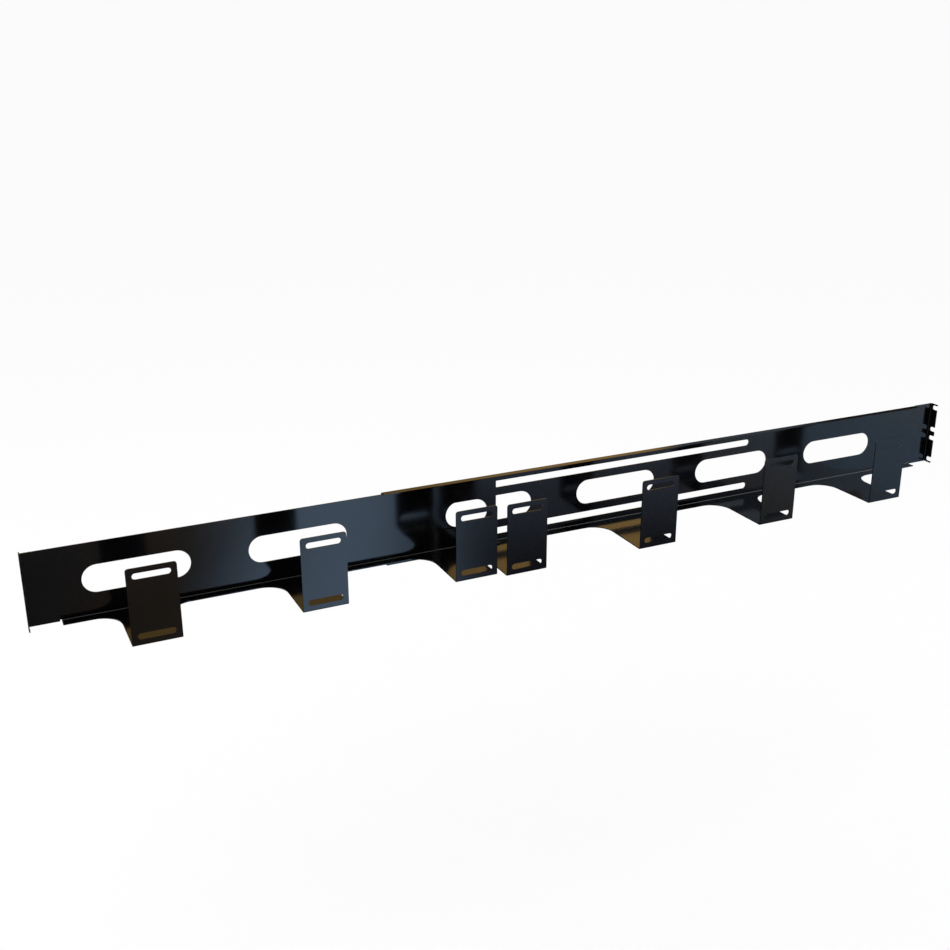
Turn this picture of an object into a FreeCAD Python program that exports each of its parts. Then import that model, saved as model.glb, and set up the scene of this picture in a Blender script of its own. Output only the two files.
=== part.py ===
"""Front-to-rear cable manager for a four-post equipment rack.

Two sections folded from sheet steel telescope in each other. Each has a web with round-ended cable
windows, a bottom flange that widens into cable hooks, and an ear with open screw notches at its end.
The front section slides inside the rear one, and four clinched studs on its web run in two long slots
of the rear web, with a washer and a lock nut on each behind it.

X runs from the front ear to the rear ear, -Y is the side that the hooks reach out to, and Z is up.
The origin is on the front ear's outer face, at the middle of its screw notches. Units are millimetres.
"""
import FreeCAD, Part
import math
import os
import re
import Sketcher

# Driving dimensions: alias, value in millimetres (counts apart), and what it is.
SIZES = (
    ("sheet_thickness", 1.2, "steel sheet of both sections"),
    ("bend_radius", 0.5, "inside radius of every fold"),
    ("running_gap", 0.5, "between the two webs"),
    ("clamp_gap", 0.2, "between the rear web and the washers, for the slide to run"),
    ("nesting_gap", 0.8, "between the flanges of the two sections"),
    ("front_web_height", 82.6, "front section, edge to edge"),
    ("screw_line", 6.2, "from the rear web's front face to the line of the rack screws"),
    ("ear_reach", 5.0, "from the line of the rack screws to the ear's free edge"),
    ("notch_width", 6.5, "open screw notch in an ear"),
    ("inner_hole_step", 12.7, "between the two middle notches"),
    ("outer_hole_step", 31.75, "from a middle notch to its outer neighbour"),
    ("flange_setback", 33.6, "from an ear's outer face to the end of the flanges"),
    ("front_flange_reach", 11.2, "front bottom flange, from the web's front face"),
    ("rear_flange_reach", 11.9, "rear bottom flange, from the web's front face"),
    ("lip_reach", 8.7, "rear top lip, from the web's front face"),
    ("relief_width", 1.6, "bend relief in the web at the end of a flange, along the fold"),
    ("relief_depth", 2.0, "bend relief, from the flange's outer face into the web"),
    ("hook_pitch", 177.8, "from hook to hook"),
    ("hook_width", 50.8, "plate and shelf of a hook"),
    ("front_hook_height", 84.6, "front hooks, from the shelf's underside to the plate's top"),
    ("rear_hook_height", 86.6, "rear hooks, from the shelf's underside to the plate's top"),
    ("flare_radius", 25.4, "concave corner between a flange and a shelf"),
    ("plate_corner_radius", 3.0, "top corners of a hook plate"),
    ("front_hook_count", 3, "hooks of the front section"),
    ("rear_hook_count", 4, "hooks of the rear section"),
    ("front_hook_start", 115.0, "from the front ear's outer face to the first hook's middle"),
    ("rear_hook_start", 169.3, "from the rear ear's outer face to the first hook's middle"),
    ("front_tail", 68.8, "from the last hook's middle to the front section's inner end"),
    ("rear_tail", 137.5, "from the last hook's middle to the rear section's inner end"),
    ("front_hook_reach", 91.6, "front hooks, from the web's front face to the plate's front face"),
    ("rear_hook_reach", 98.6, "rear hooks, from the web's front face to the plate's front face"),
    ("strap_slot_width", 6.8, "slot for a cable strap"),
    ("strap_slot_margin", 6.1, "from a strap slot's end to the side of the plate"),
    ("strap_slot_inset", 9.0, "from a strap slot's middle line to the plate's top edge or the shelf"),
    ("window_length", 114.3, "round-ended cable window"),
    ("window_width", 31.75, "round-ended cable window"),
    ("overlap", 145.6, "length over which the two sections lie in each other at rest"),
    ("slide_slot_width", 8.5, "long slot in the rear web"),
    ("slide_slot_offset", 30.15, "from the web's middle line to a long slot's middle line"),
    ("slide_slot_margin", 12.0, "from the rear section's inner end to the middle of the slot's round end"),
    ("extension_travel", 7.8, "from rest to the studs at the slots' front ends"),
    ("collapse_travel", 386.4, "from rest to the studs at the slots' rear ends"),
    ("stud_inset", 17.1, "from the front section's inner end to the rear pair of studs"),
    ("stud_diameter", 6.0, "shank of a clamp stud"),
    ("stud_head_diameter", 8.2, "flush head of a clamp stud"),
    ("stud_head_height", 0.7, "flush head of a clamp stud"),
    ("stud_chamfer", 0.8, "lead-in at a stud's tip"),
    ("stud_tip", 1.5, "stud's end past the nut"),
    ("fit_gap", 0.05, "radial clearance round a stud in its hole, its washer and its nut"),
    ("washer_diameter", 18.0, "flat washer"),
    ("washer_thickness", 1.6, "flat washer"),
    ("nut_across_flats", 10.0, "lock nut"),
    ("nut_height", 4.4, "hexagon of a lock nut"),
    ("nut_collar_diameter", 8.8, "round collar of a lock nut"),
    ("nut_collar_height", 1.6, "round collar of a lock nut"),
)

# Formulas that several pieces share, in the aliases' words.
EAR_HEIGHT = "(front_web_height + 2 * (nesting_gap + sheet_thickness))"
FRONT_LENGTH = "(front_hook_start + (front_hook_count - 1) * hook_pitch + front_tail)"
REAR_LENGTH = "(rear_hook_start + (rear_hook_count - 1) * hook_pitch + rear_tail)"
REAR_SECTION_START = f"({FRONT_LENGTH} - overlap)"
REAR_EAR_FACE = f"({REAR_SECTION_START} + {REAR_LENGTH})"
FRONT_WEB_FACE = "(screw_line - running_gap - sheet_thickness)"
REAR_WEB_BACK = "(screw_line + sheet_thickness)"
SLOT_FRONT_END = f"({REAR_SECTION_START} + slide_slot_margin)"
FRONT_STUD_X = f"({SLOT_FRONT_END} + extension_travel)"
REAR_STUD_X = f"({FRONT_LENGTH} - stud_inset)"
SLOT_REAR_END = f"({REAR_STUD_X} + collapse_travel)"
WASHER_SEAT = f"({REAR_WEB_BACK} + clamp_gap)"
NUT_SEAT = f"({WASHER_SEAT} + washer_thickness)"
STUD_LENGTH = f"({NUT_SEAT} + nut_height + nut_collar_height + stud_tip - {FRONT_WEB_FACE})"

ALIASES = {alias for alias, _, _ in SIZES}
AXES = {"x": FreeCAD.Vector(1, 0, 0), "y": FreeCAD.Vector(0, 1, 0), "z": FreeCAD.Vector(0, 0, 1)}

doc = FreeCAD.newDocument("cable_manager")
sheet = doc.addObject("Spreadsheet::Sheet", "Sizes")


def fill_sheet():
    """Writes each driving dimension to a row of the sheet and gives its cell an alias."""
    for row, (alias, size, meaning) in enumerate(SIZES, start=1):
        sheet.set(f"A{row}", alias)
        sheet.set(f"B{row}", str(size))
        sheet.setAlias(f"B{row}", alias)
        sheet.set(f"C{row}", meaning)
    doc.recompute()


def in_sheet(formula):
    """Returns the formula with each alias pointing at its cell of the sheet."""
    return re.sub(r"[a-z_]+", lambda word: f"Sizes.{word[0]}" if word[0] in ALIASES else word[0], formula)


def value(formula):
    """Returns a formula's value with the sheet's present sizes."""
    return float(sheet.evalExpression(in_sheet(formula)))


def bind(thing, **formulas):
    """Ties properties of an object to formulas; a double underscore in a name stands for a dot."""
    for name, formula in formulas.items():
        thing.setExpression(name.replace("__", "."), in_sheet(formula))


def origin_feature(body, role):
    """Returns the axis or plane of a body's origin that has this role."""
    return next(item for item in body.Origin.OriginFeatures if item.Role == role)


def new_sketch(body, name, plane, offset="0"):
    """Adds a sketch on an origin plane of the body, moved along the plane's normal by a formula."""
    sketch = body.newObject("Sketcher::SketchObject", name)
    sketch.AttachmentSupport = [(origin_feature(body, plane), "")]
    sketch.MapMode = "FlatFace"
    bind(sketch, AttachmentOffset__Base__z=offset)
    return sketch


def pin(sketch, geometry, vertex, x, y):
    """Holds a point of a sketch at the distances from its origin that two formulas give."""
    for kind, formula in (("DistanceX", x), ("DistanceY", y)):
        index = sketch.addConstraint(Sketcher.Constraint(kind, -1, 1, geometry, vertex, value(formula)))
        sketch.setExpression(f"Constraints[{index}]", in_sheet(formula))


def polygon(sketch, corners):
    """Draws a closed outline with its corners at pairs of formulas."""
    first = sketch.GeometryCount
    points = [FreeCAD.Vector(value(x), value(y), 0) for x, y in corners]
    count = len(points)
    for index, start in enumerate(points):
        sketch.addGeometry(Part.LineSegment(start, points[(index + 1) % count]))
    for index, (x, y) in enumerate(corners):
        following = first + (index + 1) % count
        sketch.addConstraint(Sketcher.Constraint("Coincident", first + index, 2, following, 1))
        pin(sketch, first + index, 1, x, y)
    return sketch


def set_width(sketch, arc, width):
    """Ties an arc's or a circle's radius to half of a width."""
    index = sketch.addConstraint(Sketcher.Constraint("Radius", arc, value(width) / 2))
    sketch.setExpression(f"Constraints[{index}]", in_sheet(f"({width}) / 2"))


def obround(sketch, left, right, y, width):
    """Draws a round-ended slot along the sketch's x, from one arc centre to the other."""
    first = sketch.GeometryCount
    radius = value(width) / 2
    up = FreeCAD.Vector(0, radius, 0)
    normal = FreeCAD.Vector(0, 0, 1)
    centres = [FreeCAD.Vector(value(x), value(y), 0) for x in (left, right)]
    circles = [Part.Circle(centre, normal, radius) for centre in centres]
    sketch.addGeometry(Part.ArcOfCircle(circles[0], math.pi / 2, 3 * math.pi / 2))
    sketch.addGeometry(Part.LineSegment(centres[0] - up, centres[1] - up))
    sketch.addGeometry(Part.ArcOfCircle(circles[1], -math.pi / 2, math.pi / 2))
    sketch.addGeometry(Part.LineSegment(centres[1] + up, centres[0] + up))
    for index in range(4):
        following = first + (index + 1) % 4
        sketch.addConstraint(Sketcher.Constraint("Tangent", first + index, 2, following, 1))
    pin(sketch, first, 3, left, y)
    pin(sketch, first + 2, 3, right, y)
    sketch.addConstraint(Sketcher.Constraint("Equal", first, first + 2))
    set_width(sketch, first, width)
    return sketch


def circle(sketch, x, y, diameter):
    """Draws a circle with its centre at a pair of formulas."""
    index = sketch.GeometryCount
    centre = FreeCAD.Vector(value(x), value(y), 0)
    sketch.addGeometry(Part.Circle(centre, FreeCAD.Vector(0, 0, 1), value(diameter) / 2))
    pin(sketch, index, 3, x, y)
    set_width(sketch, index, diameter)
    return sketch


def extrude(body, kind, name, sketch, length, midplane=False, reverse=False):
    """Adds a Pad or a Pocket of a sketch."""
    feature = body.newObject(f"PartDesign::{kind}", name)
    feature.Profile = sketch
    feature.Midplane = midplane
    feature.Reversed = reverse
    bind(feature, Length=length)
    doc.recompute()
    return feature


def revolve(body, kind, name, sketch):
    """Adds a full Revolution or Groove of a sketch about its vertical axis."""
    feature = body.newObject(f"PartDesign::{kind}", name)
    feature.Profile = sketch
    feature.ReferenceAxis = (sketch, ["V_Axis"])
    feature.Angle = 360
    doc.recompute()
    return feature


def edges_along(shape, axis, places):
    """Names the straight edges of a shape that run along an axis through one of the places.

    A place gives the two other coordinates, as a dict from axis letter to formula.
    """
    tolerance = 1e-4
    wanted = [{letter: value(formula) for letter, formula in place.items()} for place in places]
    names = []
    for number, edge in enumerate(shape.Edges, start=1):
        ends = [vertex.Point for vertex in edge.Vertexes]
        if len(ends) < 2 or edge.Curve.TypeId != "Part::GeomLine":
            continue
        if abs(abs(edge.tangentAt(edge.FirstParameter).dot(AXES[axis])) - 1) > tolerance:
            continue
        for place in wanted:
            offsets = [getattr(end, letter) - at for end in ends for letter, at in place.items()]
            if max(map(abs, offsets)) < tolerance:
                names.append(f"Edge{number}")
    return names


def fillet(body, name, base, axis, places, radius):
    """Rounds the edges of the body's last feature that run along an axis through the places."""
    feature = body.newObject("PartDesign::Fillet", name)
    feature.Base = (base, edges_along(base.Shape, axis, places))
    bind(feature, Radius=radius)
    doc.recompute()
    return feature


def fold(body, name, base, axis, inside, outside):
    """Rounds a fold's inside and outside edges, which keeps the sheet's thickness round the bend."""
    inner = fillet(body, f"{name}_inside", base, axis, inside, "bend_radius")
    return fillet(body, f"{name}_outside", inner, axis, outside, "bend_radius + sheet_thickness")


class Section:
    """One folded section, drawn from its ear's outer face along +X or -X."""

    def __init__(self, end, direction, web_face, web_height, length):
        """Keeps the formulas of this section's web, flange and hooks."""
        self.end = end
        self.direction = direction
        self.face = web_face
        self.back = f"({web_face} + sheet_thickness)"
        self.top = f"({web_height} / 2)"
        self.bottom = f"(-{web_height} / 2)"
        self.web_height = web_height
        self.length = length
        self.flange_edge = f"({web_face} - {end}_flange_reach)"
        self.floor = f"({self.bottom} + sheet_thickness)"
        self.plate_front = f"({web_face} - {end}_hook_reach)"
        self.plate_back = f"({self.plate_front} + sheet_thickness)"
        self.plate_top = f"({self.bottom} + {end}_hook_height)"
        self.has_lip = end == "rear"
        self.body = doc.addObject("PartDesign::Body", f"{end}_section")
        self.body.Label = f"{end}_section"
        self.last = None

    def along(self, formula):
        """Returns the X formula of a distance from the ear's outer face."""
        return f"({self.direction} * ({formula}))"

    def profile_sketch(self, name, start="0"):
        """Adds a cross-section sketch, whose x is Y and whose y is Z."""
        return new_sketch(self.body, name, "YZ_Plane", self.along(start))

    def pad_along(self, name, sketch, length):
        """Pads a cross-section away from the ear."""
        self.last = extrude(self.body, "Pad", name, sketch, length, reverse=self.direction < 0)

    def cut_through(self, name, sketch, depth):
        """Cuts a sketch to both sides of its plane."""
        self.last = extrude(self.body, "Pocket", name, sketch, depth, midplane=True)
        return self.last

    def front_sketch(self, name, y):
        """Adds a sketch that is seen from the hooks' side, whose x is X and whose y is Z."""
        return new_sketch(self.body, name, "XZ_Plane", f"-({y})")

    def add_channel(self):
        """Folds the web and its flange, with the top lip on the rear section."""
        outline = [
            (self.back, self.top),
            (self.face, self.top),
            (self.face, self.floor),
            (self.flange_edge, self.floor),
            (self.flange_edge, self.bottom),
            (self.back, self.bottom),
        ]
        inside = [{"y": self.face, "z": self.floor}]
        outside = [{"y": self.back, "z": self.bottom}]
        if self.has_lip:
            under_lip = f"({self.top} - sheet_thickness)"
            lip_edge = f"({self.face} - lip_reach)"
            outline[1:2] = [(lip_edge, self.top), (lip_edge, under_lip), (self.face, under_lip)]
            inside.append({"y": self.face, "z": under_lip})
            outside.append({"y": self.back, "z": self.top})
        sketch = polygon(self.profile_sketch("channel_profile", "flange_setback"), outline)
        self.pad_along("channel", sketch, f"{self.length} - flange_setback")
        self.last = fold(self.body, "flange_fold", self.last, "x", inside, outside)

    def add_ear(self):
        """Folds the web's plain end into the ear, and cuts the ear's open screw notches."""
        sheet_x = self.along("sheet_thickness")
        end_x = self.along("flange_setback")
        sketch = new_sketch(self.body, "ear_profile", "XY_Plane")
        polygon(sketch, [
            ("0", "-ear_reach"),
            (sheet_x, "-ear_reach"),
            (sheet_x, self.face),
            (end_x, self.face),
            (end_x, self.back),
            ("0", self.back),
        ])
        self.last = extrude(self.body, "Pad", "web_end", sketch, self.web_height, midplane=True)
        inside = [{"x": sheet_x, "y": self.face}]
        outside = [{"x": "0", "y": self.back}]
        self.last = fold(self.body, "ear_fold", self.last, "z", inside, outside)
        blade_root = f"({self.face} - bend_radius)"
        blade_top = f"({EAR_HEIGHT} / 2)"
        blade = polygon(self.profile_sketch("ear_blade_profile"), [
            ("-ear_reach", f"-{blade_top}"),
            (blade_root, f"-{blade_top}"),
            (blade_root, blade_top),
            ("-ear_reach", blade_top),
        ])
        self.pad_along("ear_blade", blade, "sheet_thickness")
        notches = self.profile_sketch("notch_outline", "sheet_thickness / 2")
        middle = "(inner_hole_step / 2)"
        for level in (middle, f"({middle} + outer_hole_step)"):
            for side in (1, -1):
                obround(notches, "-(ear_reach + notch_width)", "0", f"{side} * {level}", "notch_width")
        self.cut_through("notches", notches, "2 * sheet_thickness")

    def add_reliefs(self):
        """Notches the web's plain end where each flange begins, so that the sheet can fold there."""
        sketch = self.front_sketch("relief_outline", f"{self.face} + sheet_thickness / 2")
        flange_end = self.along("flange_setback")
        notch_end = self.along("flange_setback - relief_width")
        levels = [(self.bottom, 1)]
        if self.has_lip:
            levels.append((self.top, -1))
        for level, inward in levels:
            polygon(sketch, [
                (notch_end, f"{level} - {inward} * relief_depth"),
                (flange_end, f"{level} - {inward} * relief_depth"),
                (flange_end, f"{level} + {inward} * relief_depth"),
                (notch_end, f"{level} + {inward} * relief_depth"),
            ])
        self.cut_through("reliefs", sketch, "2 * sheet_thickness")

    def add_hooks(self):
        """Folds a shelf and an upright plate from the flange at each hook, and cuts slots and windows."""
        body = self.body
        middle = self.along(f"{self.end}_hook_start")
        shelf_root = f"({self.face} - {self.end}_flange_reach / 2)"
        sketch = polygon(new_sketch(body, "hook_profile", "YZ_Plane", middle), [
            (shelf_root, self.bottom),
            (self.plate_front, self.bottom),
            (self.plate_front, self.plate_top),
            (self.plate_back, self.plate_top),
            (self.plate_back, self.floor),
            (shelf_root, self.floor),
        ])
        hook = extrude(body, "Pad", "hook", sketch, "hook_width", midplane=True)
        straps = self.front_sketch("strap_slot_outline", f"{self.plate_front} + sheet_thickness / 2")
        reach = "(hook_width / 2 - strap_slot_margin - strap_slot_width / 2)"
        for level in (f"{self.plate_top} - strap_slot_inset", f"{self.floor} + strap_slot_inset"):
            obround(straps, f"{middle} - {reach}", f"{middle} + {reach}", level, "strap_slot_width")
        strap_slots = self.cut_through("strap_slots", straps, "2 * sheet_thickness")
        opening = self.front_sketch("window_outline", f"{self.face} + sheet_thickness / 2")
        half = "(window_length / 2 - window_width / 2)"
        obround(opening, f"{middle} - {half}", f"{middle} + {half}", "0", "window_width")
        window = self.cut_through("window", opening, "2 * sheet_thickness")
        row = body.newObject("PartDesign::LinearPattern", "hook_row")
        row.Originals = [hook, strap_slots, window]
        row.Direction = (origin_feature(body, "X_Axis"), [""])
        row.Reversed = self.direction < 0
        row.Mode = "Spacing"
        bind(row, Offset="hook_pitch", Occurrences=f"{self.end}_hook_count")
        body.Tip = row
        doc.recompute()
        self.last = row

    def round_hooks(self):
        """Bends the hooks' folds, sweeps the flange into the shelves and rounds the plates' top corners."""
        inside = [{"y": self.plate_back, "z": self.floor}]
        outside = [{"y": self.plate_front, "z": self.bottom}]
        self.last = fold(self.body, "hook_fold", self.last, "x", inside, outside)
        count = int(value(f"{self.end}_hook_count"))
        sides = [
            self.along(f"{self.end}_hook_start + {number} * hook_pitch + {side} * hook_width / 2")
            for number in range(count)
            for side in (-1, 1)
        ]
        flare = [{"x": x, "y": self.flange_edge} for x in sides]
        corner = [{"x": x, "z": self.plate_top} for x in sides]
        self.last = fillet(self.body, "flares", self.last, "z", flare, "flare_radius")
        self.last = fillet(self.body, "plate_corners", self.last, "y", corner, "plate_corner_radius")

    def build(self):
        """Makes every fold and cut that both sections have."""
        self.add_channel()
        self.add_ear()
        self.add_reliefs()
        self.add_hooks()
        self.round_hooks()


def stud_places():
    """Returns the X and Z formulas of the four clamp studs."""
    return [(x, f"({side} * slide_slot_offset)") for x in (FRONT_STUD_X, REAR_STUD_X) for side in (1, -1)]


def make_front_section():
    """Builds the section that slides inside, with the stepped holes that its studs are clinched in."""
    section = Section("front", 1, FRONT_WEB_FACE, "front_web_height", FRONT_LENGTH)
    section.build()
    shanks = section.front_sketch("stud_hole_outline", f"{FRONT_WEB_FACE} + sheet_thickness / 2")
    heads = section.front_sketch("stud_seat_outline", FRONT_WEB_FACE)
    for x, z in stud_places():
        circle(shanks, x, z, "stud_diameter + 2 * fit_gap")
        circle(heads, x, z, "stud_head_diameter + 2 * fit_gap")
    section.cut_through("stud_holes", shanks, "2 * sheet_thickness")
    section.cut_through("stud_seats", heads, "2 * stud_head_height")
    return section.body


def make_rear_section():
    """Builds the section that slides outside, with the two long slots for the studs."""
    section = Section("rear", -1, "screw_line", EAR_HEIGHT, REAR_LENGTH)
    section.build()
    slots = section.front_sketch("slide_slot_outline", "screw_line + sheet_thickness / 2")
    ends = [f"({x} - {REAR_EAR_FACE})" for x in (SLOT_FRONT_END, SLOT_REAR_END)]
    for side in (1, -1):
        obround(slots, *ends, f"{side} * slide_slot_offset", "slide_slot_width")
    section.cut_through("slide_slots", slots, "2 * sheet_thickness")
    bind(section.body, Placement__Base__x=REAR_EAR_FACE)
    return section.body


def add_stud(body):
    """Turns a clamp stud along Z: a flush head, a shank and a chamfered tip."""
    shank = "(stud_diameter / 2)"
    head = "(stud_head_diameter / 2)"
    revolve(body, "Revolution", "stud", polygon(new_sketch(body, "stud_profile", "XZ_Plane"), [
        ("0", "0"),
        (head, "0"),
        (head, "stud_head_height"),
        (shank, "stud_head_height"),
        (shank, f"{STUD_LENGTH} - stud_chamfer"),
        (f"{shank} - stud_chamfer", STUD_LENGTH),
        ("0", STUD_LENGTH),
    ]))


def add_washer(body):
    """Turns a flat washer along Z."""
    bore = "(stud_diameter / 2 + fit_gap)"
    revolve(body, "Revolution", "washer", polygon(new_sketch(body, "washer_profile", "XZ_Plane"), [
        (bore, "0"),
        ("washer_diameter / 2", "0"),
        ("washer_diameter / 2", "washer_thickness"),
        (bore, "washer_thickness"),
    ]))


def add_nut(body):
    """Makes a lock nut along Z: a chamfered hexagon with a round collar on its outer face."""
    flat = "(nut_across_flats / 2)"
    corner = "(nut_across_flats / sqrt(3))"
    hexagon = polygon(new_sketch(body, "hexagon", "XY_Plane"), [
        (corner, "0"),
        (f"{corner} / 2", flat),
        (f"-{corner} / 2", flat),
        (f"-{corner}", "0"),
        (f"-{corner} / 2", f"-{flat}"),
        (f"{corner} / 2", f"-{flat}"),
    ])
    extrude(body, "Pad", "hexagon_pad", hexagon, "nut_height")
    slope = "tan(30 deg)"
    revolve(body, "Groove", "chamfer", polygon(new_sketch(body, "chamfer_profile", "XZ_Plane"), [
        (flat, "nut_height"),
        ("nut_across_flats", "nut_height"),
        ("nut_across_flats", f"nut_height - {flat} * {slope}"),
    ]))
    collar = circle(new_sketch(body, "collar_outline", "XY_Plane"), "0", "0", "nut_collar_diameter")
    extrude(body, "Pad", "collar", collar, "nut_height + nut_collar_height")
    bore = circle(new_sketch(body, "bore_outline", "XY_Plane"), "0", "0", "stud_diameter + 2 * fit_gap")
    extrude(body, "Pocket", "bore", bore, "3 * nut_height", midplane=True)


def make_group(label, seat, add_piece):
    """Repeats a fastener at the four studs, with its local Z turned along +Y from a seat."""
    pieces = []
    for x, z in stud_places():
        body = doc.addObject("PartDesign::Body", f"{label}_piece")
        add_piece(body)
        body.Placement = FreeCAD.Placement(FreeCAD.Vector(), FreeCAD.Rotation(AXES["x"], -90))
        bind(body, Placement__Base__x=x, Placement__Base__y=seat, Placement__Base__z=z)
        pieces.append(body)
    group = doc.addObject("Part::Compound", label)
    group.Label = label
    group.Links = pieces
    doc.recompute()
    return group


def check(piece, solid_count):
    """Stops the build if a sub-part is empty, invalid or not the expected number of solids."""
    shape = piece.Shape
    if shape.isNull() or not shape.isValid() or len(shape.Solids) != solid_count:
        raise RuntimeError(f"{piece.Label}: null, invalid or {len(shape.Solids)} solids")


def export(pieces):
    """Checks the whole document, then writes each sub-part's shape to its own file."""
    doc.recompute()
    for item in doc.Objects:
        if "Invalid" in item.State or "Error" in item.State:
            raise RuntimeError(f"{item.Name} ({item.Label}) failed: {item.State}")
    for piece, solid_count in pieces:
        check(piece, solid_count)
    os.makedirs("parts", exist_ok=True)
    for piece, _ in pieces:
        piece.Shape.exportStep(f"parts/{piece.Label}.step")
        box = piece.Shape.BoundBox
        print(f"{piece.Label}: {piece.Shape.Volume:.1f} mm3, X {box.XMin:.2f} to {box.XMax:.2f},"
              f" Y {box.YMin:.2f} to {box.YMax:.2f}, Z {box.ZMin:.2f} to {box.ZMax:.2f}")


fill_sheet()
STUD_COUNT = len(stud_places())
export([
    (make_front_section(), 1),
    (make_rear_section(), 1),
    (make_group("clamp_studs", FRONT_WEB_FACE, add_stud), STUD_COUNT),
    (make_group("clamp_washers", WASHER_SEAT, add_washer), STUD_COUNT),
    (make_group("clamp_nuts", NUT_SEAT, add_nut), STUD_COUNT),
])
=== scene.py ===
"""Looks of a telescoping front-to-rear cable manager for a server rack.

Two folded steel sections in gloss black powder coat slide along each other, clamped by four clinched studs
with washers and lock nuts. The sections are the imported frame's own solids. The small hardware gets its
threads, chamfers and nylon rings here.
"""

import logging
import math
from dataclasses import dataclass
from enum import Enum
from functools import partial
from typing import Callable, Iterable, Sequence

import bmesh
import bpy
from mathutils import Matrix, Vector


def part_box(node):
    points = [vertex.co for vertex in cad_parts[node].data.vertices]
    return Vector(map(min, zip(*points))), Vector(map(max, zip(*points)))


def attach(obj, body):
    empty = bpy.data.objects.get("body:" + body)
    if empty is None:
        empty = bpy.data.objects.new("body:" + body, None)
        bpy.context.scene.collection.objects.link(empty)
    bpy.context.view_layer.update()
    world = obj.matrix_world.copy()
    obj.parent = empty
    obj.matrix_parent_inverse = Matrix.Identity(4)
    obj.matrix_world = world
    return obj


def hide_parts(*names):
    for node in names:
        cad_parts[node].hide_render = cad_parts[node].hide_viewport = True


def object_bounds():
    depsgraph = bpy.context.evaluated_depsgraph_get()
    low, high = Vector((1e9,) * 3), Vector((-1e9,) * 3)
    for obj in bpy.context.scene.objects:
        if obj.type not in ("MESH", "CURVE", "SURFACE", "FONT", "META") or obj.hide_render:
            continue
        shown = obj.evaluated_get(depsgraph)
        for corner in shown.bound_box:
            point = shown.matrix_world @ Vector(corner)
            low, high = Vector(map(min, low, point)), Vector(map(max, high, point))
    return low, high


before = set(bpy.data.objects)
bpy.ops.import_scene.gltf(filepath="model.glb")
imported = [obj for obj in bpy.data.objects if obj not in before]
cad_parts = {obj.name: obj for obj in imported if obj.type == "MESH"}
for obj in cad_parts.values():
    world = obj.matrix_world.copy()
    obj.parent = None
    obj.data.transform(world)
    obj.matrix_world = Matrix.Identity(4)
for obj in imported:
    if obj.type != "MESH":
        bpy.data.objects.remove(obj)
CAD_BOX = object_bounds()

LOG = logging.getLogger("cable_manager")
MM = 0.001

# Points round each turned piece. A multiple of six puts a nut's corners on points.
ROUND_STEPS = 72
# From the middle of a card to its edge, before it is scaled to its size.
CARD_EDGE = 0.5
# The Mix node's colour sockets, by number, because its sockets for other types have the same names.
MIX_SHARE, MIX_FROM, MIX_TO, MIX_RESULT = 0, 6, 7, 2

Colour = tuple[float, float, float, float]
Place = tuple[float, float, float]
Pair = tuple[float, float]
ByAngle = float | Callable[[float], float]
ProfilePoint = tuple[ByAngle, ByAngle]


class Node(str, Enum):
    """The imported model's nodes."""

    FRONT_SECTION = "front_section"
    REAR_SECTION = "rear_section"
    STUDS = "clamp_studs"
    WASHERS = "clamp_washers"
    NUTS = "clamp_nuts"


class Slot(str, Enum):
    """The record's material slots."""

    BLACK_COAT = "black_coat"
    ZINC_STEEL = "zinc_steel"


class Stance(Enum):
    """How a studio card stands: its tilt about the X axis, in degrees."""

    FLAT = 0.0
    UPRIGHT = 90.0


def linear(hex_colour: str) -> Colour:
    """Turns an sRGB hex colour into the linear values that shaders use.

    Args:
        hex_colour: six hex digits after a hash mark.

    Returns:
        Red, green, blue and an alpha of 1.
    """
    parts = [int(hex_colour[i : i + 2], 16) / 255 for i in (1, 3, 5)]
    red, green, blue = (p / 12.92 if p <= 0.04045 else ((p + 0.055) / 1.055) ** 2.4 for p in parts)
    return red, green, blue, 1.0


def add_node(
    tree: bpy.types.NodeTree, kind: str, inputs: dict[str | int, object] | None = None, **settings: object
) -> bpy.types.Node:
    """Adds one shader node with its settings and links.

    Args:
        tree: the node tree that takes the node.
        kind: Blender's name for the node type.
        inputs: socket name or number, with a plain value or the output socket that feeds it.
        settings: the node's own properties.

    Returns:
        The new node.
    """
    node = tree.nodes.new(kind)
    for name, value in settings.items():
        setattr(node, name, value)
    for socket, value in (inputs or {}).items():
        if isinstance(value, bpy.types.NodeSocket):
            tree.links.new(value, node.inputs[socket])
        else:
            node.inputs[socket].default_value = value
    return node


def new_material(name: str) -> tuple[bpy.types.Material, bpy.types.NodeTree]:
    """Makes an empty node material.

    Args:
        name: the finish's own name.

    Returns:
        The material and its cleared node tree.
    """
    material = bpy.data.materials.new(name)
    material.use_nodes = True
    material.node_tree.nodes.clear()
    return material, material.node_tree


def per_metre(size_mm: float) -> float:
    """Gives the texture scale at which one pattern cell is size_mm wide."""
    return 1 / (size_mm * MM)


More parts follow.
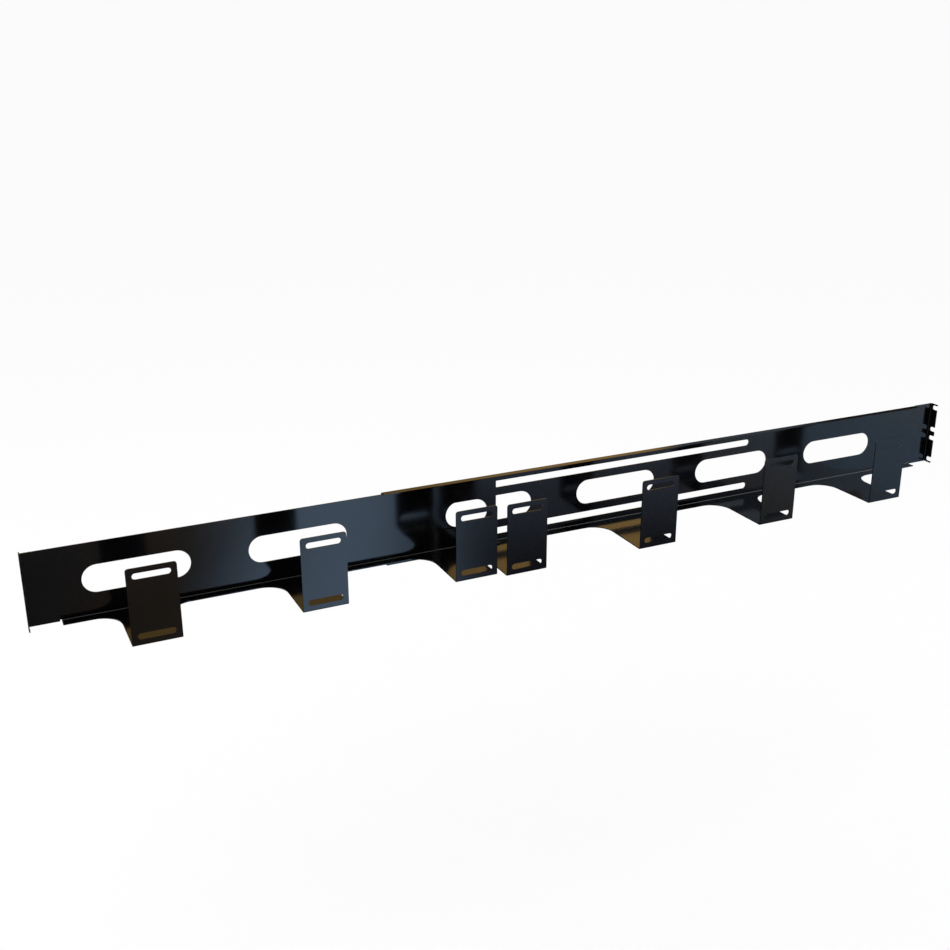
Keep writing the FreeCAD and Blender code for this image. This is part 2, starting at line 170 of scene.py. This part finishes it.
@dataclass(frozen=True)
class Finish:
    """A surface whose colour and gloss drift in soft patches, under a fine relief.

    The patches' noise runs from one colour and roughness to the other, and the relief's noise drives a bump.
    """

    name: str
    colour: str
    patch_colour: str
    patch_mm: float
    patch_detail: float
    relief_mm: float
    relief_detail: float
    relief_height_mm: float
    roughness_low: float
    roughness_high: float

    def even_values(self) -> dict[str, float]:
        """Gives the shader's values that are the same all over the surface."""
        return {}

    def make(self) -> bpy.types.Material:
        """Builds the finish's material.

        Returns:
            The new material.
        """
        material, tree = new_material(self.name)
        place = add_node(tree, "ShaderNodeTexCoord").outputs["Object"]
        patches = add_node(
            tree,
            "ShaderNodeTexNoise",
            {"Vector": place, "Scale": per_metre(self.patch_mm), "Detail": self.patch_detail},
        )
        colour = add_node(
            tree,
            "ShaderNodeMix",
            {
                MIX_SHARE: patches.outputs[0],
                MIX_FROM: linear(self.colour),
                MIX_TO: linear(self.patch_colour),
            },
            data_type="RGBA",
        )
        gloss = add_node(
            tree,
            "ShaderNodeMapRange",
            {"Value": patches.outputs[0], "To Min": self.roughness_low, "To Max": self.roughness_high},
        )
        relief = add_node(
            tree,
            "ShaderNodeTexNoise",
            {"Vector": place, "Scale": per_metre(self.relief_mm), "Detail": self.relief_detail},
        )
        bump = add_node(
            tree,
            "ShaderNodeBump",
            {"Height": relief.outputs[0], "Distance": self.relief_height_mm * MM, "Strength": 1.0},
        )
        shader = add_node(
            tree,
            "ShaderNodeBsdfPrincipled",
            {
                "Base Color": colour.outputs[MIX_RESULT],
                "Roughness": gloss.outputs[0],
                "Normal": bump.outputs[0],
                **self.even_values(),
            },
        )
        add_node(tree, "ShaderNodeOutputMaterial", {"Surface": shader.outputs[0]})
        return material


@dataclass(frozen=True)
class PowderCoat(Finish):
    """Gloss black polyester powder coat, baked on steel sheet.

    The resin flows into a smooth skin, so the eye sees a clear dark mirror with a slight waviness, like
    orange peel. The peel of the real coat is about 2 mm wide, which is under two pixels here, so it is drawn
    coarser.
    """

    name: str = "gloss_black_powder_coat"
    colour: str = "#020203"
    patch_colour: str = "#050506"
    patch_mm: float = 60.0
    patch_detail: float = 3.0
    relief_mm: float = 7.0
    relief_detail: float = 1.0
    relief_height_mm: float = 0.004
    roughness_low: float = 0.115
    roughness_high: float = 0.15
    ior: float = 1.52

    def even_values(self) -> dict[str, float]:
        """Gives the resin's refractive index."""
        return {"IOR": self.ior}


@dataclass(frozen=True)
class ZincPlate(Finish):
    """Bright zinc plate on cold-formed steel hardware.

    Thin passivated zinc: a silvery metal with soft gloss, faint cloudy patches a few millimetres wide, and
    the shallow grain that the forming dies leave.
    """

    name: str = "bright_zinc_plate"
    colour: str = "#c6c9cc"
    patch_colour: str = "#b3b7b4"
    patch_mm: float = 3.0
    patch_detail: float = 4.0
    relief_mm: float = 0.6
    relief_detail: float = 2.0
    relief_height_mm: float = 0.006
    roughness_low: float = 0.22
    roughness_high: float = 0.38
    metallic: float = 1.0

    def even_values(self) -> dict[str, float]:
        """Gives the value that makes the surface a metal."""
        return {"Metallic": self.metallic}


@dataclass(frozen=True)
class NylonInsert(Finish):
    """Natural nylon, moulded and pressed into a lock nut's collar.

    Milky, with a waxy half-gloss, a slightly creamier cloud here and there and a soft moulded skin.
    """

    name: str = "natural_nylon"
    colour: str = "#dcd9cf"
    patch_colour: str = "#d0cab8"
    patch_mm: float = 1.5
    patch_detail: float = 2.0
    relief_mm: float = 0.5
    relief_detail: float = 1.0
    relief_height_mm: float = 0.006
    roughness_low: float = 0.38
    roughness_high: float = 0.46
    ior: float = 1.53
    subsurface: float = 0.2
    subsurface_depth_mm: float = 0.6

    def even_values(self) -> dict[str, float]:
        """Gives the polymer's refractive index and how far light spreads inside it.

        Returns:
            The values by socket name.
        """
        return {
            "IOR": self.ior,
            "Subsurface Weight": self.subsurface,
            "Subsurface Scale": self.subsurface_depth_mm * MM,
        }


@dataclass(frozen=True)
class FoldedSection:
    """One folded and coated sheet section, shown as its CAD node."""

    node: Node

    def dress(self, coat: bpy.types.Material) -> bpy.types.Object:
        """Gives the section its coat.

        Args:
            coat: the powder coat's material.

        Returns:
            The section's object.
        """
        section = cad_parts[self.node.value]
        section.data.materials.clear()
        section.data.materials.append(coat)
        return section


def span_along(node: Node) -> Pair:
    """Gives a node's lowest and highest place along Y, in millimetres."""
    low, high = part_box(node.value)
    return low.y / MM, high.y / MM


def ring(radius: ByAngle, along: ByAngle) -> list[Vector]:
    """Makes one ring of points about the Y axis.

    Args:
        radius: the ring's radius in millimetres, or a function that gives it at an angle.
        along: the ring's place along Y in millimetres, or a function that gives it at an angle.

    Returns:
        The points in metres.
    """
    points = []
    for step in range(ROUND_STEPS):
        angle = math.tau * step / ROUND_STEPS
        out = radius(angle) if callable(radius) else radius
        place = along(angle) if callable(along) else along
        points.append(Vector((out * math.cos(angle), place, out * math.sin(angle))) * MM)
    return points


def rounded_rim(radius: float, along: float, edge: float, steps: int = 4) -> list[ProfilePoint]:
    """Rounds the outer corner between a rim and its end face with a quarter circle.

    Args:
        radius: the rim's radius in millimetres.
        along: the end face's place along Y in millimetres.
        edge: the corner's own radius in millimetres.
        steps: the number of flats in the quarter circle.

    Returns:
        The radius and place of each point, from the rim to the end face.
    """
    turns = [math.pi / 2 * step / steps for step in range(steps + 1)]
    return [(radius - edge * (1 - math.cos(turn)), along - edge * (1 - math.sin(turn))) for turn in turns]


def turned_mesh(
    name: str, profile: Sequence[ProfilePoint], looped: bool, sharp_deg: float = 25.0
) -> bpy.types.Mesh:
    """Turns a profile about the Y axis into a closed mesh.

    Args:
        name: the mesh's name.
        profile: the radius and place of each ring, in order along the profile.
        looped: True where the last ring joins the first, as on a piece with a bore. Otherwise both ends are
            capped.
        sharp_deg: the bend from which an edge between two faces is shaded as sharp.

    Returns:
        The mesh, with its faces turned outwards and shaded smooth between the sharp edges.
    """
    solid = bmesh.new()
    rings = [[solid.verts.new(point) for point in ring(radius, along)] for radius, along in profile]
    pairs = list(zip(rings, rings[1:]))
    if looped:
        pairs.append((rings[-1], rings[0]))
    else:
        solid.faces.new(rings[0])
        solid.faces.new(rings[-1])
    for one, other in pairs:
        for i in range(len(one)):
            j = (i + 1) % len(one)
            solid.faces.new((one[i], one[j], other[j], other[i]))
    bmesh.ops.recalc_face_normals(solid, faces=solid.faces)
    mesh = bpy.data.meshes.new(name)
    solid.to_mesh(mesh)
    solid.free()
    mesh.polygons.foreach_set("use_smooth", [True] * len(mesh.polygons))
    mesh.set_sharp_from_angle(angle=math.radians(sharp_deg))
    return mesh


@dataclass(frozen=True)
class ClinchedStud:
    """A threaded stud, clinched into the front web so that its head is flush. Sizes are in millimetres."""

    head_radius: float = 4.1
    head_thickness: float = 0.7
    head_edge: float = 0.04
    mark_radius: float = 0.5
    mark_tip_radius: float = 0.025
    mark_depth: float = 0.45
    thread_radius: float = 3.0
    thread_depth: float = 0.55
    thread_pitch: float = 1.0
    # How much steeper the flanks are than on a ridge without a flat crest.
    flank_gain: float = 1.15
    rows_per_pitch: int = 10
    tip_chamfer: float = 0.8

    def places(self) -> list[Vector]:
        """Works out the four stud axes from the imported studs' box.

        Returns:
            One point on each axis, at Y = 0, in metres.
        """
        low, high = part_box(Node.STUDS.value)
        reach = self.head_radius * MM
        columns = (low.x + reach, high.x - reach)
        rows = (low.z + reach, high.z - reach)
        return [Vector((x, 0.0, z)) for x in columns for z in rows]

    def head_mesh(self) -> bpy.types.Mesh:
        """Builds the head, flush with the web's front face, with a small centre mark.

        Returns:
            The head's mesh.
        """
        front, _ = span_along(Node.STUDS)
        back = front + self.head_thickness
        profile = [
            (self.mark_tip_radius, front + self.mark_depth),
            (self.mark_radius, front),
            (self.head_radius - self.head_edge, front),
            (self.head_radius, front + self.head_edge),
            (self.head_radius, back),
            (self.thread_radius, back),
        ]
        return turned_mesh("stud_head", profile, looped=False)

    def crest(self, start: float, end: float, along: float, angle: float) -> float:
        """Gives the thread's radius at one point: straight flanks, a sharp root and a small flat crest.

        Args:
            start: where the thread runs out behind the head, along Y in millimetres.
            end: the stud's tip, along Y in millimetres.
            along: the point's place along Y in millimetres.
            angle: the point's angle about the Y axis in radians.

        Returns:
            The radius in millimetres.
        """
        runout = min(1.0, (along - start) / self.thread_pitch)
        limit = self.thread_radius - max(0.0, self.tip_chamfer - (end - along))
        turn = (along / self.thread_pitch + angle / math.tau) % 1.0
        ridge = min(1.0, self.flank_gain * abs(2 * turn - 1))
        return min(limit, self.thread_radius - self.thread_depth * runout * (1 - ridge))

    def thread_mesh(self) -> bpy.types.Mesh:
        """Builds the threaded shank from behind the head to the chamfered tip.

        Returns:
            The shank's mesh.
        """
        front, end = span_along(Node.STUDS)
        start = front + self.head_thickness
        rows = math.ceil((end - start) / self.thread_pitch * self.rows_per_pitch)
        places = [start + (end - start) * row / rows for row in range(rows + 1)]
        profile = [(partial(self.crest, start, end, along), along) for along in places]
        return turned_mesh("stud_thread", profile, looped=False)


@dataclass(frozen=True)
class FlatWasher:
    """A stamped washer behind the rear web's slot. Sizes are in millimetres."""

    radius: float = 9.0
    bore: float = 3.3
    web_side_edge: float = 0.1
    punch_round: float = 0.3
    bore_edge: float = 0.15

    def mesh(self) -> bpy.types.Mesh:
        """Builds the washer: rounded where the punch went in, crisp on the side that faces the web.

        Returns:
            The washer's mesh.
        """
        near, far = span_along(Node.WASHERS)
        profile = [
            (self.bore, near),
            (self.radius - self.web_side_edge, near),
            (self.radius, near + self.web_side_edge),
            *rounded_rim(self.radius, far, self.punch_round),
            (self.bore + self.bore_edge, far),
            (self.bore, far - self.bore_edge),
        ]
        return turned_mesh("clamp_washer", profile, looped=True)


@dataclass(frozen=True)
class LockNut:
    """A hexagon nut with a round collar that holds a nylon ring. Sizes are in millimetres."""

    across_flats: float = 10.0
    hexagon_height: float = 4.4
    chamfer_deg: float = 30.0
    # How far the round end faces stay inside the flats.
    end_inset: float = 0.1
    bore: float = 3.05
    lead_in: float = 0.4
    collar_radius: float = 4.4
    collar_round: float = 0.5
    collar_mouth: float = 3.75
    ring_bore: float = 3.02
    ring_drop: float = 0.35
    ring_height: float = 1.0
    ring_rim_width: float = 0.15
    ring_rim_drop: float = 0.1
    ring_lead_in: float = 0.2
    ring_dish: float = 0.05

    def side(self, angle: float) -> float:
        """Gives the hexagon's radius at one angle, with a corner on the X axis."""
        turn = (angle + math.pi / 6) % (math.pi / 3) - math.pi / 6
        return self.across_flats / 2 / math.cos(math.pi / 6 - abs(turn))

    def chamfer(self, end: float, inwards: int, angle: float) -> float:
        """Finds where the cone that chamfers one end of the hexagon leaves its side.

        Args:
            end: that end's place along Y in millimetres.
            inwards: 1 where the hexagon lies after that end along Y, or -1 where it lies before it.
            angle: the angle about the Y axis in radians.

        Returns:
            The place along Y in millimetres.
        """
        reach = self.side(angle) - (self.across_flats / 2 - self.end_inset)
        return end + inwards * reach * math.tan(math.radians(self.chamfer_deg))

    def body_mesh(self) -> bpy.types.Mesh:
        """Builds the nut's steel body: a hexagon with turned chamfers, and the collar.

        Returns:
            The body's mesh.
        """
        seat, top = span_along(Node.NUTS)
        hexagon_top = seat + self.hexagon_height
        ledge = top - self.ring_drop - self.ring_height
        end_radius = self.across_flats / 2 - self.end_inset
        profile = [
            (self.bore + self.lead_in, seat),
            (end_radius, seat),
            (self.side, partial(self.chamfer, seat, 1)),
            (self.side, partial(self.chamfer, hexagon_top, -1)),
            (end_radius, hexagon_top),
            (self.collar_radius, hexagon_top),
            *rounded_rim(self.collar_radius, top, self.collar_round),
            (self.collar_mouth, top),
            (self.collar_mouth, ledge),
            (self.bore, ledge),
            (self.bore, seat + self.lead_in),
        ]
        return turned_mesh("clamp_nut", profile, looped=True)

    def ring_mesh(self) -> bpy.types.Mesh:
        """Builds the nylon ring that sits in the collar and grips the thread.

        Returns:
            The ring's mesh.
        """
        top = span_along(Node.NUTS)[1] - self.ring_drop
        base = top - self.ring_height
        profile = [
            (self.ring_bore, base),
            (self.collar_mouth, base),
            (self.collar_mouth, top - self.ring_rim_drop),
            (self.collar_mouth - self.ring_rim_width, top),
            (self.ring_bore + self.ring_lead_in, top - self.ring_dish),
            (self.ring_bore, top - self.ring_lead_in),
        ]
        return turned_mesh("nylon_ring", profile, looped=True)


@dataclass(frozen=True)
class SmallPiece:
    """One kind of small hardware piece, which stands at each of the four studs."""

    name: str
    mesh: bpy.types.Mesh
    finish: bpy.types.Material
    slot: Slot | None
    node: Node

    def place_all(self, places: Iterable[Vector], body: str) -> list[bpy.types.Object]:
        """Dresses the mesh and puts one copy at each place, on the body that carries it.

        Args:
            places: where the copies stand, in metres.
            body: the body that they ride on.

        Returns:
            The copies.
        """
        self.mesh.materials.append(self.finish)
        copies = []
        for number, place in enumerate(places, start=1):
            piece = bpy.data.objects.new(f"{self.name}_{number}", self.mesh)
            bpy.context.scene.collection.objects.link(piece)
            piece.location = place
            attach(piece, body)
            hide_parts(self.node.value)
            copies.append(piece)
        return copies


@dataclass(frozen=True)
class ClampHardware:
    """The four studs, washers and lock nuts that clamp the two webs together."""

    stud: ClinchedStud = ClinchedStud()
    washer: FlatWasher = FlatWasher()
    nut: LockNut = LockNut()
    body: str = "front"

    def build(
        self, coat: bpy.types.Material, zinc: bpy.types.Material, nylon: bpy.types.Material
    ) -> list[bpy.types.Object]:
        """Builds and dresses all four sets.

        Args:
            coat: the finish of the stud heads, which are coated with the web.
            zinc: the finish of the threads, washers and nuts.
            nylon: the finish of the nuts' rings.

        Returns:
            The new pieces.
        """
        kinds = [
            SmallPiece("stud_head", self.stud.head_mesh(), coat, Slot.BLACK_COAT, Node.STUDS),
            SmallPiece("stud_thread", self.stud.thread_mesh(), zinc, Slot.ZINC_STEEL, Node.STUDS),
            SmallPiece("clamp_washer", self.washer.mesh(), zinc, Slot.ZINC_STEEL, Node.WASHERS),
            SmallPiece("clamp_nut", self.nut.body_mesh(), zinc, Slot.ZINC_STEEL, Node.NUTS),
            SmallPiece("nylon_ring", self.nut.ring_mesh(), nylon, None, Node.NUTS),
        ]
        places = self.stud.places()
        return [piece for kind in kinds for piece in kind.place_all(places, self.body)]


def stage_sheet(name: str, half_side: float, segments: int, finish: bpy.types.Material) -> bpy.types.Object:
    """Makes a flat square sheet for the studio, which isn't part of the object.

    Args:
        name: the sheet's name.
        half_side: from its middle to its edge, in metres.
        segments: the number of squares along a side.
        finish: its material.

    Returns:
        The sheet, linked to the scene and marked as stage.
    """
    mesh = bpy.data.meshes.new(name)
    shape = bmesh.new()
    bmesh.ops.create_grid(shape, x_segments=segments, y_segments=segments, size=half_side)
    shape.to_mesh(mesh)
    shape.free()
    mesh.materials.append(finish)
    sheet = bpy.data.objects.new(name, mesh)
    bpy.context.scene.collection.objects.link(sheet)
    return sheet


@dataclass(frozen=True)
class Card:
    """A glowing card that only reflections see: a painted reflection in the gloss, which lights nothing else
    and casts no shadow.

    The centre and size are in metres. The feather is the share of each side over which the glow fades out.
    """

    name: str
    centre: Place
    size: Pair
    colour: str
    feather: Pair
    strength: float = 1.0
    turn_deg: float = 0.0
    stance: Stance = Stance.FLAT

    def build(self) -> bpy.types.Object:
        """Builds the card and hides it from the camera and from diffuse light.

        Returns:
            The card.
        """
        card = stage_sheet(self.name, CARD_EDGE, segments=1, finish=self.paint())
        card.location = self.centre
        card.scale = (*self.size, 1.0)
        card.rotation_euler = (math.radians(self.stance.value), 0.0, math.radians(self.turn_deg))
        # Only glossy and transmission rays see the card, so its glow is a painted reflection.
        for sight in ("camera", "diffuse", "shadow", "volume_scatter"):
            setattr(card, f"visible_{sight}", False)
        return card

    def paint(self) -> bpy.types.Material:
        """Builds the card's glow, which fades out over its feathered edges.

        Returns:
            The new material.
        """
        material, tree = new_material(self.name)
        material.cycles.emission_sampling = "NONE"
        place = add_node(tree, "ShaderNodeTexCoord").outputs["Object"]
        sides = add_node(tree, "ShaderNodeSeparateXYZ", {0: place})
        shares = []
        for axis, feather in enumerate(self.feather):
            inside = add_node(tree, "ShaderNodeMath", {0: sides.outputs[axis]}, operation="ABSOLUTE")
            fade = add_node(
                tree,
                "ShaderNodeMapRange",
                {
                    "Value": inside.outputs[0],
                    "From Min": CARD_EDGE,
                    "From Max": CARD_EDGE - feather,
                    "To Min": 0.0,
                    "To Max": 1.0,
                },
                interpolation_type="SMOOTHSTEP",
            )
            shares.append(fade.outputs[0])
        share = add_node(tree, "ShaderNodeMath", {0: shares[0], 1: shares[1]}, operation="MULTIPLY")
        clear = add_node(tree, "ShaderNodeBsdfTransparent")
        glow = add_node(
            tree, "ShaderNodeEmission", {"Color": linear(self.colour), "Strength": self.strength}
        )
        mixed = add_node(
            tree, "ShaderNodeMixShader", {0: share.outputs[0], 1: clear.outputs[0], 2: glow.outputs[0]}
        )
        add_node(tree, "ShaderNodeOutputMaterial", {"Surface": mixed.outputs[0]})
        return material


@dataclass(frozen=True)
class Studio:
    """A pale floor, even light from all round, one soft key lamp and glowing cards that only the gloss sees,
    as painted reflections.

    Lengths are in metres, from the part's own origin. The cards of one group lie a few millimetres or
    centimetres apart, so that each covers those that it is meant to cover.
    """

    floor_drop: float = 0.6
    floor_size: float = 600.0
    floor_segments: int = 8
    floor_colour: str = "#fbfbfb"
    world_colour: str = "#ffffff"
    world_strength: float = 1.0
    key_size: float = 2.4
    key_power: float = 8.0
    key_place: Place = (-0.4, -0.6, 2.6)
    card_lift: float = 0.02
    wall_y: float = 1.5
    wall_height: float = 0.75
    screen_y: float = -2.0
    screen_height: float = 1.0
    strip_y: float = -0.9
    strip_height: float = 2.4

    def low_front_cards(self) -> list[Card]:
        """Lists the painted reflections low in front, which the webs and the hook plates mirror.

        Returns:
            A cool stretch, and over it a grey painted reflection with darker, warmer and cooler stretches on
            it.
        """
        low = self.card_lift - self.floor_drop
        return [
            # Glows that only glossy rays see: painted reflections and painted shade on the webs and hook
            # plates.
            Card("cool_shade", (1.5, -2.3, low - 0.005), (1.7, 2.4), "#c3d6ff", (0.3, 0.2), strength=1.15),
            # A grey glow under the whole length: painted reflection in the webs and hook plates.
            Card("front_painted_reflection", (1.4, -0.62, low), (6.0, 2.8), "#5c6575", (0.1, 0.3), turn_deg=9),
            Card("foot_shade", (1.25, -1.0, low + 0.003), (0.7, 0.8), "#443c3c", (0.3, 0.4)),
            Card("web_fill", (1.4, -1.38, low + 0.006), (0.28, 0.62), "#909fae", (0.4, 0.3), turn_deg=29),
            Card("slot_fill", (1.71, -1.31, low + 0.006), (0.2, 0.46), "#868c96", (0.4, 0.3), turn_deg=29),
            # A grey glow at the left end: painted reflection, darker than the floor.
            Card("left_painted_reflection", (-0.1, -1.3, low + 0.005), (0.9, 2.2), "#585a5c", (0.25, 0.1)),
            Card("warm_fill", (0.33, -1.25, low + 0.01), (0.5, 1.6), "#7c6850", (0.45, 0.1), turn_deg=12),
            Card(
                "cool_fill",
                (0.765, -1.33, low + 0.02),
                (0.62, 1.6),
                "#a3c1e0",
                (0.39, 0.1),
                strength=2.9,
                turn_deg=23,
            ),
            Card("plate_fill", (1.97, -1.38, low + 0.005), (0.3, 1.0), "#9a9896", (0.3, 0.35), turn_deg=38),
            Card(
                "cool_fill_far",
                (2.47, -1.35, low + 0.01),
                (1.26, 2.2),
                "#a3c1e0",
                (0.436, 0.1),
                strength=1.14,
                turn_deg=8,
            ),
        ]

    def wall_cards(self) -> list[Card]:
        """Lists the painted reflections behind, which the hooks' shelves and the top lip mirror.

        Returns:
            A warm painted reflection with a shade before it, and a dark painted reflection with two fills
            before it.
        """
        standing = partial(Card, stance=Stance.UPRIGHT)
        wall, height = self.wall_y, self.wall_height
        return [
            # A warm glow that only glossy rays see: painted warm reflection in the shelves and the top lip.
            standing("warm_board", (0.47, wall, height), (2.8, 1.1), "#f1c376", (0.03, 0.1)),
            standing("warm_shade", (0.2, wall - 0.01, height), (2.5, 1.1), "#b39154", (0.25, 0.1)),
            # A dark glow that only glossy rays see: painted dark reflection at the right end.
            standing("rear_flag", (3.2, wall + 0.02, height), (3.4, 1.3), "#2b211e", (0.1, 0.1)),
            standing("rear_fill", (2.08, wall + 0.01, height), (0.8, 1.1), "#686f7a", (0.32, 0.1)),
            standing("shelf_fill", (2.62, wall + 0.005, height + 0.05), (0.28, 0.24), "#5c5c62", (0.4, 0.2)),
        ]

    def high_front_cards(self) -> list[Card]:
        """Lists the painted reflections high in front and overhead.

        Returns:
            Three upright cards that the shelves mirror by way of the webs, and two strips that paint
            highlights on the bends.
        """
        standing = partial(Card, stance=Stance.UPRIGHT)
        screen, height = self.screen_y, self.screen_height
        strip = (self.strip_y, self.strip_height)
        return [
            # A dark glow that only glossy rays see: painted dark reflection in the shelves, by way of the
            # webs.
            standing("sky_flag", (0.3, screen - 0.03, height), (2.1, 1.2), "#141619", (0.1, 0.2)),
            standing("sky_fill", (2.15, screen - 0.02, height), (1.6, 1.2), "#bacbe3", (0.15, 0.2)),
            standing("top_fill", (3.25, screen, height), (1.35, 0.9), "#a9bcd2", (0.3, 0.3), strength=5.0),
            # Bright strips that only glossy rays see: painted highlights along the bends.
            Card("fold_strip", (2.95, *strip), (2.8, 2.0), "#f4f6f8", (0.06, 0.2), strength=6.2),
            Card("fold_glow", (0.25, *strip), (2.8, 2.0), "#f4f6f8", (0.06, 0.2), strength=2.0),
        ]

    def low_rear_cards(self) -> list[Card]:
        """Lists the cards low behind, which the rear ear and the backs of the hook plates mirror.

        Returns:
            Three dark painted reflections.
        """
        low = self.card_lift - self.floor_drop
        return [
            # Dark glows that only glossy rays see: painted dark reflections in the rear ear and the backs of
            # the hook plates.
            Card("back_painted_reflection", (0.5, 2.4, low), (3.4, 2.2), "#2a2f38", (0.45, 0.35), turn_deg=-12),
            Card("ear_painted_reflection", (-0.15, 1.2, low + 0.01), (1.1, 1.2), "#08080a", (0.15, 0.15)),
            Card("mirror_painted_reflection", (2.2, 1.3, low + 0.01), (0.7, 0.7), "#08080a", (0.25, 0.25)),
        ]

    def build(self) -> None:
        """Builds the floor, the world, the key lamp and the cards that paint the reflections."""
        self.build_floor()
        self.build_world()
        self.build_key()
        for group in (self.low_front_cards, self.wall_cards, self.high_front_cards, self.low_rear_cards):
            for card in group():
                card.build()

    def build_floor(self) -> None:
        """Lays a matt white sweep under the object."""
        material, tree = new_material("matt_white_vinyl")
        shader = add_node(
            tree,
            "ShaderNodeBsdfPrincipled",
            {"Base Color": linear(self.floor_colour), "Roughness": 1.0, "Specular IOR Level": 0.0},
        )
        add_node(tree, "ShaderNodeOutputMaterial", {"Surface": shader.outputs[0]})
        floor = stage_sheet("studio_floor", self.floor_size / 2, self.floor_segments, material)
        floor.location.z = -self.floor_drop

    def build_world(self) -> None:
        """Surrounds the object with even white light, which the camera sees in the floor's own shade."""
        world = bpy.data.worlds.new("soft_studio")
        world.use_nodes = True
        tree = world.node_tree
        tree.nodes.clear()
        seen = add_node(tree, "ShaderNodeLightPath").outputs["Is Camera Ray"]
        shade = add_node(
            tree,
            "ShaderNodeMix",
            {MIX_SHARE: seen, MIX_FROM: linear(self.world_colour), MIX_TO: linear(self.floor_colour)},
            data_type="RGBA",
        )
        light = add_node(
            tree,
            "ShaderNodeBackground",
            {"Color": shade.outputs[MIX_RESULT], "Strength": self.world_strength},
        )
        add_node(tree, "ShaderNodeOutputWorld", {"Surface": light.outputs[0]})
        bpy.context.scene.world = world

    def build_key(self) -> None:
        """Hangs one large soft box over the object's front."""
        lamp = bpy.data.lights.new("key_soft_box", "AREA")
        lamp.shape = "SQUARE"
        lamp.size = self.key_size
        lamp.energy = self.key_power
        key = bpy.data.objects.new("key_soft_box", lamp)
        key.location = self.key_place
        bpy.context.scene.collection.objects.link(key)
        low, high = CAD_BOX
        aim = (low + high) / 2 - Vector(self.key_place)
        key.rotation_mode = "QUATERNION"
        key.rotation_quaternion = aim.to_track_quat("-Z", "Y")
        key.visible_camera = False


@dataclass(frozen=True)
class PhotoCamera:
    """The photograph's view.

    The place is in metres, the angles are in degrees and the focal length is in pixels of the frame.
    """

    place: Place = (-0.05855, -1.20097, 0.5234)
    heading: float = 25.315
    pitch: float = 19.665
    roll: float = 0.129
    focal_px: float = 1198.66
    frame_px: float = 950.0
    sensor_mm: float = 36.0

    def build(self) -> bpy.types.Object:
        """Makes the camera and hands it to the scene.

        Returns:
            The camera.
        """
        optics = bpy.data.cameras.new("photo_camera")
        optics.sensor_width = self.sensor_mm
        optics.lens = self.sensor_mm * self.focal_px / self.frame_px
        camera = bpy.data.objects.new("photo_camera", optics)
        bpy.context.scene.collection.objects.link(camera)
        turn = Matrix.Rotation(math.radians(-self.heading), 4, "Z")
        tilt = Matrix.Rotation(math.radians(90 - self.pitch), 4, "X")
        spin = Matrix.Rotation(math.radians(-self.roll), 4, "Z")
        camera.matrix_world = Matrix.Translation(self.place) @ turn @ tilt @ spin
        bpy.context.scene.camera = camera
        return camera


def report(pieces: Iterable[bpy.types.Object]) -> None:
    """Logs each piece with its face count."""
    for piece in pieces:
        LOG.info("%s: %d faces", piece.name, len(piece.data.polygons))


def main() -> None:
    """Dresses the frame, builds the hardware and sets up the studio and camera."""
    logging.basicConfig(level=logging.INFO, format="%(name)s: %(message)s")
    bpy.context.scene.view_settings.view_transform = "Standard"
    coat = PowderCoat().make()
    zinc = ZincPlate().make()
    nylon = NylonInsert().make()
    report(FoldedSection(node).dress(coat) for node in (Node.FRONT_SECTION, Node.REAR_SECTION))
    report(ClampHardware().build(coat, zinc, nylon))
    Studio().build()
    PhotoCamera().build()


if __name__ == "__main__":
    main()
